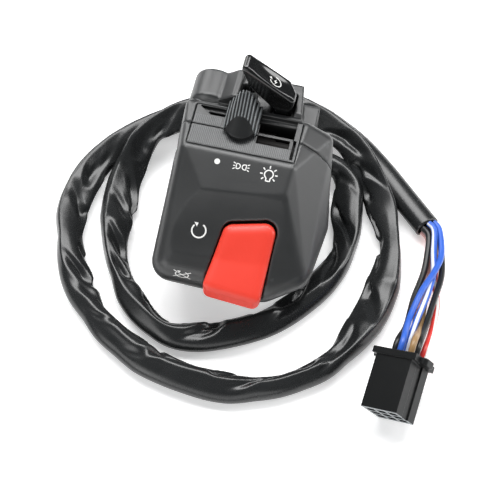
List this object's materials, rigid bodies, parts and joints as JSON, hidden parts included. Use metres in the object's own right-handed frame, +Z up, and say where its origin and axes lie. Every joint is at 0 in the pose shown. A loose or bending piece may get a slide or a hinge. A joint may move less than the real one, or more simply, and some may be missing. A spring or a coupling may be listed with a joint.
{
  "type": "handlebar switch cluster",
  "caption": "Right-hand motorcycle handlebar switch cluster: split clamp housing with light slider, red engine-stop rocker, starter paddle, and a sleeved harness ending in a plug.",
  "frame": {"origin": "on the axis of the handlebar bore, in the joint plane of the two housing halves, at the middle of the deck", "axes": "+X along the handlebar towards the grip, +Y forward away from the rider, +Z up out of the deck"},
  "size_m": [0.1392, 0.1255, 0.0655],
  "materials": {
    "housing": "satin black moulded plastic",
    "knob": "ribbed black plastic",
    "paddle": "gloss black plastic",
    "red_cap": "semi-gloss red plastic",
    "carrier": "light grey acetal",
    "insulator": "black-brown insulating board",
    "contact": "bare brass",
    "steel": "zinc-plated steel",
    "grommet": "black rubber",
    "sleeve": "glossy black soft vinyl sleeve",
    "wire_black": "black wire insulation",
    "wire_blue": "blue wire insulation",
    "wire_white": "white wire insulation with a blue stripe",
    "wire_brown": "light brown wire insulation",
    "wire_red": "red wire insulation",
    "wire_pink": "pink wire insulation",
    "plug": "black nylon"
  },
  "bodies": {
    "housing": {"rear_housing": "housing", "front_housing": "housing", "slot_cover": "housing", "housing_screws": "steel", "light_base": "insulator", "light_terminals": "contact", "rocker_pin": "steel", "kill_base": "insulator", "kill_terminals": "contact", "kill_base_screws": "steel", "paddle_pin": "steel", "start_base": "insulator", "start_terminals": "contact", "start_spring": "steel", "cable_grommet": "grommet", "cable_sleeve": "sleeve", "wire_black": "wire_black", "wire_blue": "wire_blue", "wire_white_blue": "wire_white", "wire_brown": "wire_brown", "wire_grey": "wire_black", "wire_red": "wire_red", "wire_pink": "wire_pink", "plug_body": "plug", "plug_terminals": "contact"},
    "light_slide_unit": {"light_knob": "knob", "light_carriage": "carrier", "light_contact": "contact", "light_detent_ball": "steel", "light_detent_spring": "steel"},
    "rocker_unit": {"kill_rocker": "red_cap", "kill_contact": "contact"},
    "paddle_unit": {"start_paddle": "paddle"},
    "plunger_unit": {"start_plunger": "carrier", "start_contact": "contact"}
  },
  "joints": [
    {"name": "light_slide", "type": "slide", "parent": "housing", "child": "light_slide_unit", "axis": [1, 0, 0], "range_m": [-0.0085, 0.0085]},
    {"name": "kill_rock", "type": "hinge", "parent": "housing", "child": "rocker_unit", "pos_m": [0.0062, -0.03642, 0.00547], "axis": [1, 0, 0], "range_deg": [0, 13]},
    {"name": "start_press", "type": "hinge", "parent": "housing", "child": "paddle_unit", "pos_m": [0.0085, 0.0141, 0.0225], "axis": [0, -1, 0], "range_deg": [0, 8], "stiffness_Nm_per_rad": 0.1, "springref_deg": -5.73},
    {"name": "plunger_slide", "type": "slide", "parent": "housing", "child": "plunger_unit", "axis": [0, 0, -1], "range_m": [0, 0.0017], "deforming": ["start_spring"]}
  ],
  "couplings": [
    {"joint": "plunger_slide", "follows": "start_press", "m_per_rad": 0.01144}
  ]
}
